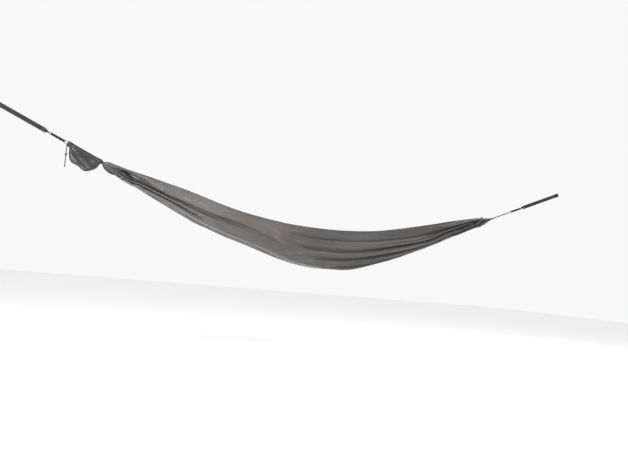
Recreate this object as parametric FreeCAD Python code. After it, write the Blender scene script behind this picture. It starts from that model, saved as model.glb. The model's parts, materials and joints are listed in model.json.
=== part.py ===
"""A gathered-end camping hammock, hung level between its two tree loops, in millimetres.

The row frame has +X from the left anchor to the right one and +Z up. Its origin is the point inside the left
anchor loop where a post or limb bears. Each end of the fabric is gathered into a bunched channel, whipped, and
pulled up at the hang angle by a looped cord, a carabiner and a webbing strap that ends in a sewn loop.
An empty stuff sack hangs on the left cord, with its drawcord and cord lock.

One side's suspension is modelled once, in the line's own frame: its x runs outwards along the line from the end of
the fabric, its y lies across and its z is the upper normal. place() puts it at either end.
"""

import FreeCAD
import Part
import math
import os
from FreeCAD import Placement, Rotation, Vector

# ---- driving dimensions ----
HALF_CHORD = 1350.0  # half the distance between the two gathered ends
HANG_DEG = 22.5  # how steeply each suspension line rises
TIP_TO_CHOKE = 640.0  # along the line, from the gathered end to where the strap meets its anchor loop
CHOKE_TO_BEARING = 62.0  # from there to the inside of the loop's far end

HEM_SAG = 237.0  # how far the hems fall below the gather's top at their lowest
BELLY_SAG = 437.5  # how far the bottom falls below the gather's underside at its lowest
HEM_SPREAD = 160.0  # how far each hem stands out at mid-span
GATHER_TOP = 14.0
GATHER_BOTTOM = -36.0
GATHER_HALF = 20.0
HEM_SHIFT = -0.05  # the hems' lowest point, as a share of half the span towards the right
BELLY_SHIFT = 0.011  # the belly's lowest point, likewise
BODY_STOP = 62.0  # the trough gives way to the bunched channel this far before the gathered end
SHELL = 2.5  # thickness of the plain solid that stands for the fabric

CORD_R = 1.75
ROD_R = 4.0  # carabiner stock
CLASP_NEAR = 231.0  # centre of the rod that the cord bears on
CLASP_LONG = 72.0  # between the centres of the two bearing rods
CLASP_HALF = 18.0
CLASP_CORNER = 12.0
CLASP_NOSE = CLASP_NEAR + 18.0  # where the rod stops on either side of the gate
CLASP_HEEL = CLASP_NEAR + 50.0
PIN_X = CLASP_NEAR + 45.0
PIN_R = 1.2

WEB_T = 2.2  # webbing thickness
WEB_W = 25.0
WEB_FOLDED = 15.0  # the strap is folded narrower where it goes round the carabiner
EYE_R = 8.0  # inside of the anchor loop

NECK_R = 6.5  # the gathered fabric under the whipping
WHIP_TURNS = (4.0, 7.6, 11.2)

SACK_START = 14.0
SACK_END = 212.0
SACK_SLEEVE = 13.0  # outside of the sleeve round the cord
SACK_TUNNEL = 8.0  # the clear way through it for the cord
TAIL_R = 1.25

HANG = math.radians(HANG_DEG)
LINE = TIP_TO_CHOKE + CHOKE_TO_BEARING
TIP_X = LINE * math.cos(HANG)
TIP_Z = -LINE * math.sin(HANG)
MID_X = TIP_X + HALF_CHORD
FAR_ROD = CLASP_NEAR + CLASP_LONG

X = Vector(1, 0, 0)
Y = Vector(0, 1, 0)
Z = Vector(0, 0, 1)


# ---- placing and writing ----
def place(shape, side):
    """Moves a shape from the line's frame to the left or the right end."""
    tilt = Rotation(Y, -HANG_DEG)
    if side == "left":
        where = Placement(Vector(TIP_X, 0, TIP_Z), Rotation(Z, 180).multiply(tilt))
    else:
        where = Placement(Vector(MID_X + HALF_CHORD, 0, TIP_Z), tilt)
    moved = shape.copy()
    moved.Placement = where.multiply(moved.Placement)
    return moved


def write(name, shape):
    """Writes one node, and says how large it is."""
    assert shape.isValid(), name
    assert shape.Volume > 0, name
    shape.exportStep(f"parts/{name}.step")
    print(f"{name:26s} solids {len(shape.Solids)}  volume {shape.Volume / 1000:9.2f} cm3")


def write_both(name, shape):
    for side in ("left", "right"):
        write(f"{side}_{name}", place(shape, side))


def fused(shapes):
    return shapes[0].multiFuse(shapes[1:]).removeSplitter() if len(shapes) > 1 else shapes[0]


def block(x0, x1, y0, y1, z0, z1):
    return Part.makeBox(x1 - x0, y1 - y0, z1 - z0, Vector(x0, y0, z0))


def rod(start, end, radius):
    along = end.sub(start)
    return Part.makeCylinder(radius, along.Length, start, along)


# ---- the fabric body ----
def falling(t, power, roundness=2.0):
    """1 at mid-span and 0 at the gathered ends. A lower roundness makes the middle more pointed."""
    return max(0.0, 1.0 - abs(t) ** roundness) ** power


def shifted(t, shift):
    """t, moved so that the value for the middle lies at shift, with both ends left in place."""
    return t - shift * (1 - t * t)


def hem_at(t):
    """(y, z) of the hem on the +Y side, at t from -1 to 1 along the chord."""
    y = GATHER_HALF + HEM_SPREAD * falling(t, 1.2)
    z = GATHER_TOP - HEM_SAG * falling(shifted(t, HEM_SHIFT), 1.37)
    return y, z


def belly_at(t):
    """z of the lowest line of the fabric."""
    return GATHER_BOTTOM - BELLY_SAG * falling(shifted(t, BELLY_SHIFT), 1.12, 1.62)


def trough(t, inset):
    """Points of the hanging cross-section, hem to hem, taken in by inset."""
    half, top = hem_at(t)
    bottom = belly_at(t)
    points = []
    for k in range(13):
        a = math.pi * (k / 12 - 0.5)
        y = (half - inset) * math.sin(a)
        z = top - (top - bottom - inset) * math.cos(a)
        points.append(Vector(HALF_CHORD * t, y, z))
    return points


def trough_wire(t):
    outer = trough(t, 0.0)
    inner = trough(t, SHELL)[::-1]
    edges = []
    for points in (outer, inner):
        curve = Part.BSplineCurve()
        curve.interpolate(points)
        edges.append(curve.toShape())
    rims = [Part.makeLine(outer[-1], inner[0]), Part.makeLine(inner[-1], outer[0])]
    return Part.Wire([edges[0], rims[0], edges[1], rims[1]])


def in_span(shape):
    """Moves a shape from the chord's frame, with its origin at mid-span, to the row frame."""
    shape.translate(Vector(MID_X, 0, TIP_Z))
    return shape


def span_stations(count):
    """Places along the span, closer together towards the ends."""
    last = 1.0 - BODY_STOP / HALF_CHORD
    return [last * math.sin(math.pi / 2 * (2 * k / (count - 1) - 1)) for k in range(count)]


def hammock_body():
    return in_span(Part.makeLoft([trough_wire(t) for t in span_stations(13)], True, False))


def hem(sign):
    """A rolled hem, as a strip that follows one long edge just above it."""
    height, width, gap = 7.0, 5.0, 0.4
    sections = []
    for t in span_stations(15):
        half, top = hem_at(t)
        y = sign * (half - SHELL / 2)
        x, z = HALF_CHORD * t, top + gap
        corners = [(-1, 0), (1, 0), (1, 1), (-1, 1), (-1, 0)]
        points = [Vector(x, y + a * width / 2, z + b * height) for a, b in corners]
        sections.append(Part.makePolygon(points))
    return in_span(Part.makeLoft(sections, True, True))


# ---- the gathered ends ----
def turned(profile):
    """A solid of revolution about the line, from (x, radius) points."""
    points = [Vector(profile[0][0], 0, 0)]
    points += [Vector(x, 0, r) for x, r in profile]
    points += [Vector(profile[-1][0], 0, 0), points[0]]
    return Part.Face(Part.makePolygon(points)).revolve(Vector(0, 0, 0), X, 360)


def end_channel():
    """The bunched channel: its flared mouth fills the trough's end, and it necks down to the whipping."""
    return turned([(-78, 31), (-55, 25), (-30, 22), (-12, 20), (-4, 14), (2, NECK_R), (13, NECK_R)])


def whipping():
    """Three turns of cord round the neck, as separate rings."""
    rings = [Part.makeTorus(NECK_R + 0.2 + CORD_R, CORD_R, Vector(x, 0, 0), X) for x in WHIP_TURNS]
    return Part.makeCompound(rings)


def cord_sleeve():
    """The stitched sleeve over the cord's splice, tapering outwards."""
    return turned([(13.2, 5.6), (30, 5.2), (44, 4.2)])


SLEEVE_END = 44.0
LEG_GAP = 2.1  # from the line to each leg of the cord, at the sleeve


def tangent_to(point, centre, radius, side):
    """Where the line from point touches the circle, in the x-z plane, on the side of +z or -z."""
    away = point.sub(centre)
    bearing = math.atan2(away.z, away.x)
    turn = math.acos(radius / away.Length)
    a = bearing - side * turn
    return centre.add(Vector(radius * math.cos(a), 0, radius * math.sin(a)))


def suspension_cord():
    """One cord: out of the sleeve, round the carabiner's near rod and back into the sleeve."""
    centre = Vector(CLASP_NEAR, 0, 0)
    radius = ROD_R + CORD_R + 0.3
    low, high = Vector(SLEEVE_END, 0, -LEG_GAP), Vector(SLEEVE_END, 0, LEG_GAP)
    top = tangent_to(high, centre, radius, 1)
    foot = tangent_to(low, centre, radius, -1)
    far = centre.add(Vector(radius, 0, 0))
    path = Part.Wire(
        [Part.makeLine(low, foot), Part.Arc(foot, far, top).toShape(), Part.makeLine(top, high)]
    )
    start = Part.Wire(Part.makeCircle(CORD_R, low, foot.sub(low)))
    cord = path.makePipeShell([start], True, True)
    print(f"suspension cord: path {path.Length:.1f} mm, arc radius {radius:.2f} mm")
    return cord


# ---- the carabiner ----
def clasp_path():
    """The rod's centre line: a rounded rectangle, open along the gate."""
    left, right, half, c = CLASP_NEAR, FAR_ROD, CLASP_HALF, CLASP_CORNER
    k = c * (1 - math.sqrt(0.5))
    return Part.Wire(
        [
            Part.makeLine(Vector(CLASP_HEEL, -half, 0), Vector(right - c, -half, 0)),
            Part.Arc(
                Vector(right - c, -half, 0), Vector(right - k, -half + k, 0), Vector(right, -half + c, 0)
            ).toShape(),
            Part.makeLine(Vector(right, -half + c, 0), Vector(right, half - c, 0)),
            Part.Arc(
                Vector(right, half - c, 0), Vector(right - k, half - k, 0), Vector(right - c, half, 0)
            ).toShape(),
            Part.makeLine(Vector(right - c, half, 0), Vector(left + c, half, 0)),
            Part.Arc(
                Vector(left + c, half, 0), Vector(left + k, half - k, 0), Vector(left, half - c, 0)
            ).toShape(),
            Part.makeLine(Vector(left, half - c, 0), Vector(left, -half + c, 0)),
            Part.Arc(
                Vector(left, -half + c, 0), Vector(left + k, -half + k, 0), Vector(left + c, -half, 0)
            ).toShape(),
            Part.makeLine(Vector(left + c, -half, 0), Vector(CLASP_NOSE, -half, 0)),
        ]
    )


GATE_Y = -CLASP_HALF
GATE_R = 3.8
NOSE_X = CLASP_NEAR + 19.0
TONGUE_R = 4.3
SLOT_HALF = 1.6
SLOT_FLOOR = CLASP_NEAR + 37.0
BORE_FLOOR = CLASP_NEAR + 26.0


def carabiner():
    """The bent rod, with a flat tongue for the gate's hinge and a lip that the closed gate rests on."""
    path = clasp_path()
    start = Part.Wire(Part.makeCircle(ROD_R, Vector(CLASP_HEEL, GATE_Y, 0), X))
    body = path.makePipeShell([start], True, True)
    tongue = block(PIN_X, CLASP_HEEL + 1, GATE_Y - TONGUE_R, GATE_Y + TONGUE_R, -1.3, 1.3)
    tongue = tongue.common(rod(Vector(PIN_X - 4, GATE_Y, 0), Vector(CLASP_HEEL + 2, GATE_Y, 0), ROD_R))
    tip = Part.makeCylinder(TONGUE_R - 0.3, 2.6, Vector(PIN_X, GATE_Y, -1.3), Z)
    lip = rod(Vector(CLASP_NOSE - 1, GATE_Y, 0), Vector(CLASP_NOSE + 4.4, GATE_Y, 0), ROD_R)
    lip = lip.common(block(CLASP_NOSE - 2, CLASP_NOSE + 5, GATE_Y - 5, GATE_Y - 1.4, -5, 5))
    hole = Part.makeCylinder(PIN_R + 0.05, 10, Vector(PIN_X, GATE_Y, -5), Z)
    return fused([body, tongue, tip, lip]).cut(hole)


def gate():
    """The gate: a rod with a forked heel, a cut-back nose and a blind bore for its spring."""
    stock = rod(Vector(NOSE_X, GATE_Y, 0), Vector(PIN_X, GATE_Y, 0), GATE_R)
    heel = Part.makeCylinder(GATE_R, 2 * GATE_R, Vector(PIN_X, GATE_Y, -GATE_R), Z)
    whole = rod(Vector(NOSE_X, GATE_Y, 0), Vector(PIN_X + 6, GATE_Y, 0), GATE_R)
    shape = fused([stock, heel.common(whole)])
    slot = block(SLOT_FLOOR, PIN_X + 6, GATE_Y - 6, GATE_Y + 6, -SLOT_HALF, SLOT_HALF)
    rest = block(CLASP_NOSE - 1, CLASP_NOSE + 4.8, GATE_Y - 6, GATE_Y - 1.0, -6, 6)
    bore = rod(Vector(BORE_FLOOR, GATE_Y, 0), Vector(SLOT_FLOOR + 1, GATE_Y, 0), 1.5)
    hole = Part.makeCylinder(PIN_R + 0.05, 10, Vector(PIN_X, GATE_Y, -5), Z)
    return shape.cut(fused([slot, bore])).cut(rest).cut(hole)


def gate_pin():
    """The hinge rivet, with a low head at each end outside the fork."""
    shank = Part.makeCylinder(PIN_R, 2 * GATE_R + 0.6, Vector(PIN_X, GATE_Y, -GATE_R - 0.3), Z)
    head = 0.6
    top = Part.makeCylinder(2.0, head, Vector(PIN_X, GATE_Y, GATE_R + 0.15), Z)
    under = Part.makeCylinder(2.0, head, Vector(PIN_X, GATE_Y, -GATE_R - 0.15 - head), Z)
    return fused([shank, top, under])


def gate_spring():
    """The coil in the gate's bore, as a helix of fine wire."""
    wire_r, coil_r, pitch, length = 0.22, 1.05, 1.1, 8.2
    helix = Part.makeHelix(pitch, length, coil_r)
    start = Part.Wire(Part.makeCircle(wire_r, Vector(coil_r, 0, 0), Y))
    coil = Part.Wire(helix).makePipeShell([start], True, True)
    coil.rotate(Vector(0, 0, 0), Y, 90)
    coil.translate(Vector(BORE_FLOOR + 0.4, GATE_Y, 0))
    return coil


def gate_plunger():
    """The push rod between the spring and the tongue."""
    return rod(Vector(BORE_FLOOR + 9.2, GATE_Y, 0), Vector(PIN_X - TONGUE_R - 0.05, GATE_Y, 0), 1.35)


# ---- the webbing ----
def tear_face(centre_x, radius, tip_x, tip_half):
    """A teardrop in the x-z plane: a circle, with straight sides to a tip of height 2 * tip_half."""
    centre = Vector(centre_x, 0, 0)
    high = Vector(tip_x, 0, max(tip_half, 0.001))
    low = Vector(tip_x, 0, -high.z)
    side = 1 if tip_x < centre_x else -1
    top = tangent_to(high, centre, radius, side)
    foot = Vector(top.x, 0, -top.z)
    back = centre.add(Vector(radius if tip_x < centre_x else -radius, 0, 0))
    outline = [
        Part.makeLine(high, top),
        Part.Arc(top, back, foot).toShape(),
        Part.makeLine(foot, low),
        Part.makeLine(low, high),
    ]
    return Part.Face(Part.Wire(outline))


def web_loop(centre_x, inner, outer_tip, inner_tip, width):
    """A band of webbing round a circle of radius inner, closed towards a seam, as wide as width across y."""
    outer = tear_face(centre_x, inner + WEB_T, outer_tip, WEB_T)
    hole = tear_face(centre_x, inner, inner_tip, 0.0)
    band = outer.cut(hole).extrude(Vector(0, width, 0))
    band.translate(Vector(0, -width / 2, 0))
    return band


def smooth(a, b, v):
    s = min(1.0, max(0.0, (v - a) / (b - a)))
    return s * s * (3 - 2 * s)


LOOP_END = FAR_ROD + 20.0  # where the layers meet behind the carabiner
SEAM_START = FAR_ROD + 40.0  # of the bar-tacked seam, which stands upright
SEAM_END = FAR_ROD + 62.0


def doubled_section(x):
    """The two layers' rectangle at x: behind the loop they open to full width and turn a quarter turn."""
    width = WEB_FOLDED + (WEB_W - WEB_FOLDED) * smooth(LOOP_END - 2, SEAM_START + 5, x)
    turn = math.pi / 2 * smooth(LOOP_END - 2, SEAM_START, x)
    across = Vector(0, math.cos(turn), math.sin(turn)).multiply(width / 2)
    thick = Vector(0, -math.sin(turn), math.cos(turn)).multiply(WEB_T)
    at = Vector(x, 0, 0)
    corners = [at + across + thick, at - across + thick, at - across - thick, at + across - thick]
    return Part.makePolygon(corners + [corners[0]])


def beyond_choke():
    """The space outwards of the upright plane through the choke point, as a large box."""
    size = 120.0
    box = Part.makeBox(size, size, size, Vector(0.5, -size / 2, -size / 2))
    box.rotate(Vector(0, 0, 0), Y, HANG_DEG)
    box.translate(Vector(TIP_TO_CHOKE, 0, 0))
    return box


def strap():
    """The strap from the carabiner to the choke point, folded back and sewn at the carabiner."""
    loop = web_loop(FAR_ROD, ROD_R + 0.4, LOOP_END, LOOP_END - 3.0, WEB_FOLDED)
    count = 21
    first = LOOP_END - 0.1
    stations = [first + (SEAM_END - first) * k / (count - 1) for k in range(count)]
    doubled = Part.makeLoft([doubled_section(x) for x in stations], True, True)
    single = block(SEAM_END - 2, TIP_TO_CHOKE + 8, -WEB_T / 2, WEB_T / 2, -WEB_W / 2, WEB_W / 2)
    return fused([loop, doubled, single.cut(beyond_choke())])


def anchor_loop():
    """The sewn loop that goes round a post: its layers part sideways, and its edges stand upright."""
    loop = web_loop(LINE - EYE_R, EYE_R, 660.0, 663.0, WEB_W)
    seam = block(650.0, 660.1, -WEB_W / 2, WEB_W / 2, -WEB_T, WEB_T)
    tail = block(TIP_TO_CHOKE - 8, 651.0, -WEB_W / 2, WEB_W / 2, -WEB_T / 2, WEB_T / 2)
    shape = fused([loop, seam, tail])
    shape.rotate(Vector(0, 0, 0), X, 90)
    return shape.common(beyond_choke())


def bar_tacks(positions, half_y, face_z):
    """Raised bars of zigzag thread on both faces of an upright seam, across the webbing."""
    high = 0.5
    tacks = []
    for x in positions:
        for sign in (1, -1):
            low = face_z if sign > 0 else -face_z - high
            tacks.append(block(x - 1.2, x + 1.2, -half_y, half_y, low, low + high))
    group = Part.makeCompound(tacks)
    group.rotate(Vector(0, 0, 0), X, 90)
    return group


# ---- the stuff sack, on the left line only ----
def sack_section(x, drop, bulge):
    """The hanging section: a round sleeve for the cord above, a soft belly below, straight walls between."""
    gap = drop - bulge
    lean = math.asin((SACK_SLEEVE - bulge) / gap)
    c, s = math.cos(lean), math.sin(lean)

    def at(y, z):
        return Vector(x, y, z)

    top_right, top_left = at(SACK_SLEEVE * c, -SACK_SLEEVE * s), at(-SACK_SLEEVE * c, -SACK_SLEEVE * s)
    low_right, low_left = at(bulge * c, -gap - bulge * s), at(-bulge * c, -gap - bulge * s)
    return Part.Wire(
        [
            Part.Arc(top_left, at(0, SACK_SLEEVE), top_right).toShape(),
            Part.makeLine(top_right, low_right),
            Part.Arc(low_right, at(0, -drop), low_left).toShape(),
            Part.makeLine(low_left, top_left),
        ]
    )


# along the line, the drop below it and the bulge, ending in the puckered neck that the drawcord closes
SACK_PROFILE = [
    (SACK_START, 30.0, 9.5),
    (22.0, 50.0, 12.0),
    (34.0, 67.0, 14.0),
    (48.0, 80.0, 16.0),
    (64.0, 86.0, 17.0),
    (94.0, 85.0, 18.0),
    (128.0, 84.0, 18.0),
    (158.0, 76.0, 16.0),
    (178.0, 50.0, 13.5),
    (190.0, 18.0, 11.5),
    (SACK_END, 14.5, 11.5),
]


def sack_body():
    """The empty sack, drawn shut at both mouths, with the tunnel that the cord runs through."""
    bag = Part.makeLoft([sack_section(*row) for row in SACK_PROFILE], True, False)
    tunnel = rod(Vector(SACK_START - 5, 0, 0), Vector(SACK_END + 5, 0, 0), SACK_TUNNEL)
    return bag.cut(tunnel)


def sack_elastic():
    """The ring of elastic that holds the inner mouth closed, against the fabric's edge."""
    ring = Part.makeTorus(SACK_SLEEVE + 0.4, 1.5, Vector(SACK_START - 0.6, 0, 0), X)
    return ring.common(block(SACK_START - 5, SACK_START, -20, 20, -20, 20))


def from_line(x, z):
    """A point of the left line's frame, in the row frame."""
    return Vector(TIP_X - x * math.cos(HANG) + z * math.sin(HANG), 0, TIP_Z + x * math.sin(HANG) + z * math.cos(HANG))


TAIL_TOP = from_line(SACK_END - 5.0, -16.4)  # just under the neck
TAIL_LONG = 104.0
TAIL_APART = 1.6  # from the middle to each tail, along X
LOCK_Z = TAIL_TOP.z - 46.0  # centre of the cord lock
LOCK_R = 6.5
BUTTON_R = 4.3
BUTTON_TRAVEL = 3.5


def drawcord_tail(sign):
    top = TAIL_TOP.add(Vector(sign * TAIL_APART, 0, 0))
    return rod(top, top.add(Vector(0, 0, -TAIL_LONG)), TAIL_R)


def drawcord_knot():
    """The overhand knot that joins the two tails, as two bulges, under their ends."""
    foot = TAIL_TOP.add(Vector(0, 0, -TAIL_LONG))
    upper = Part.makeSphere(4.2, foot.add(Vector(0, 0, -3.9)))
    lower = Part.makeSphere(3.4, foot.add(Vector(0, 0, -8.4)))
    level = Part.makeBox(20, 20, 20, foot.add(Vector(-10, -10, 0)))
    return fused([upper, lower]).cut(level)


def lock_bar(y0, y1, radius):
    """A cylinder along Y through the cord lock's centre, from y0 to y1 of the cords."""
    at = Vector(TAIL_TOP.x, 0, LOCK_Z)
    return rod(at.add(Vector(0, y0, 0)), at.add(Vector(0, y1, 0)), radius)


def lock_slot(y0, y1):
    """The upright slot that both tails run through."""
    half = 3.4
    return block(TAIL_TOP.x - half, TAIL_TOP.x + half, y0, y1, LOCK_Z - 12, LOCK_Z + 12)


def rounded_end(shape, y, radius):
    """Rounds the edges of the end face at y."""
    edges = [e for e in shape.Edges if abs(e.BoundBox.YMin - y) < 0.01 and abs(e.BoundBox.YMax - y) < 0.01]
    return shape.makeFillet(radius, edges)


def lock_barrel():
    shell = rounded_end(lock_bar(-7.0, 11.0, LOCK_R), 11.0, 1.5)
    return shell.cut(lock_bar(-9.0, 9.0, BUTTON_R + 0.15)).cut(lock_slot(-2.0, 2.0))


def lock_button():
    """The plunger: pressed along +Y, its slot frees the cords."""
    core = rounded_end(lock_bar(-11.5, 4.4, BUTTON_R), -11.5, 1.2)
    return core.cut(lock_slot(-1.9 - BUTTON_TRAVEL, 1.5))


def lock_spring():
    """The spring behind the plunger, as closed rings one behind the other."""
    rings = [
        Part.makeTorus(3.2, 0.4, Vector(TAIL_TOP.x, 4.9 + 0.86 * k, LOCK_Z), Y) for k in range(5)
    ]
    return Part.makeCompound(rings)


# ---- write every node ----
def main():
    os.makedirs("parts", exist_ok=True)
    write("hammock_body", hammock_body())
    write("near_hem", hem(-1))
    write("far_hem", hem(1))
    write_both("end_channel", end_channel())
    write_both("whipping", whipping())
    write_both("cord_sleeve", cord_sleeve())
    write_both("suspension_cord", suspension_cord())
    write_both("carabiner", carabiner())
    write_both("gate", gate())
    write_both("gate_pin", gate_pin())
    write_both("gate_spring", gate_spring())
    write_both("gate_plunger", gate_plunger())
    write_both("strap", strap())
    write_both("strap_bartack", bar_tacks([SEAM_START + 5, SEAM_START + 11, SEAM_START + 17], 11.5, WEB_T))
    write_both("anchor_loop", anchor_loop())
    write_both("loop_bartack", bar_tacks([653.0, 657.5], 11.5, WEB_T))
    write("sack_body", place(sack_body(), "left"))
    write("sack_elastic", place(sack_elastic(), "left"))
    write("drawcord_outer_tail", drawcord_tail(-1))
    write("drawcord_inner_tail", drawcord_tail(1))
    write("drawcord_knot", drawcord_knot())
    write("lock_barrel", lock_barrel())
    write("lock_button", lock_button())
    write("lock_spring", lock_spring())


main()
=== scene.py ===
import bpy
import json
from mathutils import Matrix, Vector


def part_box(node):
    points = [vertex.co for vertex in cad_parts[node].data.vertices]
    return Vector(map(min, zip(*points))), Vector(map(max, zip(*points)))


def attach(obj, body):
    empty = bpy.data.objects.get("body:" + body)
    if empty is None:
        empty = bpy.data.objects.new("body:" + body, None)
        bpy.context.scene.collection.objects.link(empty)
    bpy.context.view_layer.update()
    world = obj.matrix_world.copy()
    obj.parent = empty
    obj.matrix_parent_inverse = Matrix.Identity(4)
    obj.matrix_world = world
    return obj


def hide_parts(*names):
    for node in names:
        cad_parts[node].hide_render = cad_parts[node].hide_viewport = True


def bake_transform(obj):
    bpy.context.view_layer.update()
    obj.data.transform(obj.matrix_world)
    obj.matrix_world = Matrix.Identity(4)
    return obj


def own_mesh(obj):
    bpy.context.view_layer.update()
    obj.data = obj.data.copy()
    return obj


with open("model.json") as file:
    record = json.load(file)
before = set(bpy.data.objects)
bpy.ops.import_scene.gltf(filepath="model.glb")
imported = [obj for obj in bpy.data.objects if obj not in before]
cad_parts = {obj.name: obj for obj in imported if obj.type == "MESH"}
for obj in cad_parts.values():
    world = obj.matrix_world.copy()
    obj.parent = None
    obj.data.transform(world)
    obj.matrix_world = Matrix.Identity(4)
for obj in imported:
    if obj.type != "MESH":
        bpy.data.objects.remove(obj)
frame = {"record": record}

"""The looks of a gathered-end camping hammock, in metres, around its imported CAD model.

The fabric is relaxed here as a real sheet, cut 1.40 m by 2.90 m and pleated into a bunch at each end. Each
suspension is built in the line's own frame and then placed. That frame's x runs outwards from the gathered end,
its y lies across the line and its z is the upper normal.
"""

import json
import math

import bpy
import numpy as np
from mathutils import Matrix, Vector

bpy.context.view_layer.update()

# ---- where things are, from the record and the frame ----
MOUNTS = {m["name"]: m for m in frame["record"]["mounts"]}
ANCHOR = {side: Vector(MOUNTS[f"{side}_anchor"]["pos_m"]) for side in ("left", "right")}
OUTWARDS = {side: Vector(MOUNTS[f"{side}_anchor"]["axis"]) for side in ("left", "right")}
LINE = 0.702  # along the line, from the gathered end to the anchor
TIP = {side: ANCHOR[side] - OUTWARDS[side] * LINE for side in ("left", "right")}
MIDDLE = (TIP["left"] + TIP["right"]) / 2
HALF_CHORD = (TIP["right"] - TIP["left"]).length / 2
HANG = math.asin(OUTWARDS["right"].z)


def line_matrix(side):
    """From the line's frame to the row frame."""
    out = OUTWARDS[side]
    across = Vector((0, 1 if side == "right" else -1, 0))
    up = out.cross(across)
    matrix = Matrix((out, across, up)).transposed().to_4x4()
    matrix.translation = TIP[side]
    return matrix


# ---- meshes ----
def new_mesh(name, points, faces, smooth=True):
    mesh = bpy.data.meshes.new(name)
    mesh.from_pydata([tuple(map(float, p)) for p in points], [], [tuple(map(int, f)) for f in faces])
    mesh.update()
    mesh.polygons.foreach_set("use_smooth", [smooth] * len(mesh.polygons))
    obj = bpy.data.objects.new(name, mesh)
    bpy.context.scene.collection.objects.link(obj)
    return obj


def give_lay(obj, values):
    """Stores where each point lies on the material: three numbers in metres, or an angle's cosine and sine."""
    attribute = obj.data.attributes.new("lay", "FLOAT_VECTOR", "POINT")
    attribute.data.foreach_set("vector", np.asarray(values, np.float32).ravel())


def grid_faces(rows, columns, closed=False, ring=False):
    """Faces between rows of points. closed joins each row's ends, and ring joins the last row to the first."""
    index = np.arange(rows * columns).reshape(rows, columns)
    index = np.pad(index, ((0, int(ring)), (0, int(closed))), "wrap")
    corners = (index[:-1, :-1], index[:-1, 1:], index[1:, 1:], index[1:, :-1])
    return np.stack(corners, -1).reshape(-1, 4).tolist()


def capped(faces, rows, columns):
    """The faces of a closed tube, with a flat cap at each end."""
    return faces + [list(range(columns))[::-1], list(range((rows - 1) * columns, rows * columns))]


def subdivided(obj, thickness=0.0):
    """Subdivides the mesh once, and thickens it first if it is a sheet."""
    if thickness:
        solid = obj.modifiers.new("solid", "SOLIDIFY")
        solid.thickness = thickness
        solid.offset = 0.0
    smooth = obj.modifiers.new("smooth", "SUBSURF")
    smooth.levels = smooth.render_levels = 1
    graph = bpy.context.evaluated_depsgraph_get()
    mesh = bpy.data.meshes.new_from_object(obj.evaluated_get(graph), depsgraph=graph)
    old = obj.data
    obj.modifiers.clear()
    obj.data = mesh
    bpy.data.meshes.remove(old)
    mesh.name = obj.name


def place(obj, side):
    """Takes a mesh built in the line's frame to one end of the hammock."""
    obj.data.transform(line_matrix(side))
    obj.data.update()


def finish_piece(obj, body, slot, material, *nodes):
    """Gives a piece its material, the body it rides on and the nodes it stands for. Its slot is not used."""
    obj.data.materials.clear()
    obj.data.materials.append(material)
    if body:
        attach(obj, body)
    if nodes:
        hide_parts(*nodes)
    return obj


def nurbs_line(points, steps=12):
    """The smooth line with these control points, as an array of points along it."""
    curve = bpy.data.curves.new("line", "CURVE")
    curve.dimensions = "3D"
    spline = curve.splines.new("NURBS")
    spline.points.add(len(points) - 1)
    for point, at in zip(spline.points, points):
        point.co = (*at, 1.0)
    spline.order_u = 3  # quadratic, so the line keeps close to its control points
    spline.use_endpoint_u = True
    spline.resolution_u = steps
    obj = bpy.data.objects.new("line", curve)
    bpy.context.scene.collection.objects.link(obj)
    graph = bpy.context.evaluated_depsgraph_get()
    mesh = bpy.data.meshes.new_from_object(obj.evaluated_get(graph), depsgraph=graph)
    line = np.array([v.co for v in mesh.vertices])
    bpy.data.objects.remove(obj)
    bpy.data.curves.remove(curve)
    bpy.data.meshes.remove(mesh)
    return line


def frames_along(line, first=(0, 0, 1)):
    """Two normals at each point of a line, carried along without twist."""
    tangents = np.gradient(line, axis=0)
    tangents /= np.linalg.norm(tangents, axis=1)[:, None]
    normal = np.array(first, float)
    normals = []
    for tangent in tangents:
        normal = normal - tangent * (normal @ tangent)
        normal /= np.linalg.norm(normal)
        normals.append(normal)
    normals = np.array(normals)
    return normals, np.cross(tangents, normals)


def run_along(line):
    """The distance along a line at each of its points."""
    steps = np.linalg.norm(np.diff(line, axis=0), axis=1)
    return np.concatenate([[0], np.cumsum(steps)])


def tube(name, line, radius, sides=14, first=(0, 0, 1)):
    """A closed tube along a line. Its lay is the run along it, and the cosine and sine of the angle round it."""
    line = np.asarray(line, float)
    radii = np.broadcast_to(radius, len(line))
    side, up = frames_along(line, first)
    angle = np.linspace(0, 2 * math.pi, sides, endpoint=False)
    ring = np.cos(angle)[None, :, None] * side[:, None] + np.sin(angle)[None, :, None] * up[:, None]
    points = (line[:, None] + radii[:, None, None] * ring).reshape(-1, 3)
    obj = new_mesh(name, points, capped(grid_faces(len(line), sides, True), len(line), sides))
    run = np.repeat(run_along(line), sides)
    lay = np.stack([run, np.tile(np.cos(angle), len(line)), np.tile(np.sin(angle), len(line))], 1)
    give_lay(obj, lay)
    return obj


def turned(name, profile, sides=40):
    """A closed solid of revolution about the line's x, from (x, radius) pairs."""
    profile = np.asarray(profile, float)
    angle = np.linspace(0, 2 * math.pi, sides, endpoint=False)
    x = np.repeat(profile[:, 0], sides)
    r = np.repeat(profile[:, 1], sides)
    a = np.tile(angle, len(profile))
    points = np.stack([x, r * np.cos(a), r * np.sin(a)], 1)
    obj = new_mesh(name, points, capped(grid_faces(len(profile), sides, True), len(profile), sides))
    give_lay(obj, np.stack([x, np.cos(a), np.sin(a)], 1))
    return obj


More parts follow.
